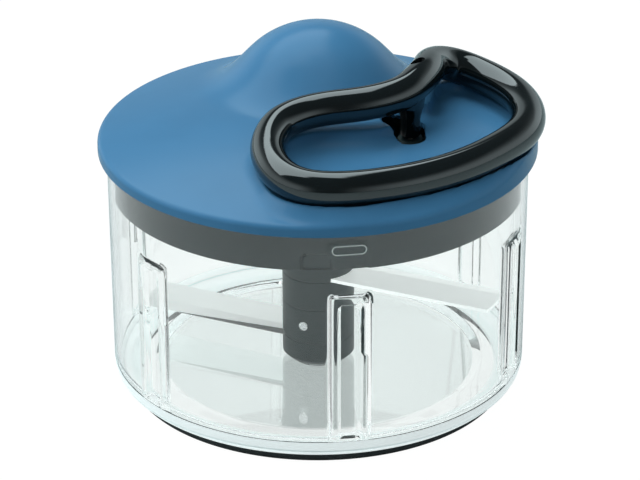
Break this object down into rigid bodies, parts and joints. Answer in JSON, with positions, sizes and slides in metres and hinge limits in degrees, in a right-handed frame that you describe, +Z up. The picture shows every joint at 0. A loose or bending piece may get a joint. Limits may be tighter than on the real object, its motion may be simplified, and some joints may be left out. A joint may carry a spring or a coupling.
{
  "type": "pull cord food chopper",
  "caption": "Clear bowl with a stacked blade column, under a blue lid whose black looped handle pulls a cord to spin the blades",
  "frame": {"origin": "centre of the bowl's foot on the table, on the axis that the blades turn about", "axes": "+Z up along the blade axis, -Y towards the user, +X to the user's right, where the handle overhangs the lid"},
  "size_m": [0.1522, 0.15, 0.1173],
  "materials": {
    "clear": "clear",
    "soft_black": "matte",
    "steel": "satin",
    "blade_steel": "ground",
    "spring_steel": "blued",
    "dark_grey": "satin",
    "lid_blue": "gloss",
    "handle_black": "gloss",
    "white_plastic": "satin",
    "cord": "braided"
  },
  "bodies": {
    "bowl_body": {"bowl": "clear", "pivot_pin": "steel", "foot_ring": "soft_black"},
    "blade_body": {"hub_foot": "dark_grey", "hub_lower_sleeve": "dark_grey", "hub_upper_sleeve": "dark_grey", "hub_top": "dark_grey", "hub_core": "steel", "hub_rivets": "steel", "blade_lower": "blade_steel", "blade_upper": "blade_steel"},
    "lid_body": {"lid_cover": "lid_blue", "lid_base": "dark_grey", "housing_screws": "steel", "lid_axle": "steel", "spring_arbor": "white_plastic", "power_spring": "spring_steel", "cord_guide": "white_plastic", "cord_run": "cord"},
    "spool_body": {"cord_spool": "white_plastic", "spring_cover": "white_plastic", "cord_winding": "cord", "thrust_washer": "white_plastic"},
    "handle_body": {"pull_handle": "handle_black", "cord_knot": "cord"}
  },
  "joints": [
    {"name": "lid_lift", "type": "slide", "parent": "bowl_body", "child": "lid_body", "axis": [0, 0, 1], "range_m": [0, 0.12]},
    {"name": "handle_pull", "type": "slide", "parent": "lid_body", "child": "handle_body", "axis": [0, 0, 1], "range_m": [0, 0.3], "stiffness_N_per_m": 15, "springref_m": -0.2},
    {"name": "spool_spin", "type": "hinge", "parent": "lid_body", "child": "spool_body", "pos_m": [0, 0, 0.083], "axis": [0, 0, 1], "range_deg": [0, 825]},
    {"name": "blade_spin", "type": "hinge", "parent": "bowl_body", "child": "blade_body", "pos_m": [0, 0, 0.03], "axis": [0, 0, 1], "range_deg": [0, 825]}
  ],
  "couplings": [
    {"joint": "spool_spin", "follows": "handle_pull", "rad_per_m": 47.85},
    {"joint": "blade_spin", "follows": "handle_pull", "rad_per_m": 47.85}
  ]
}
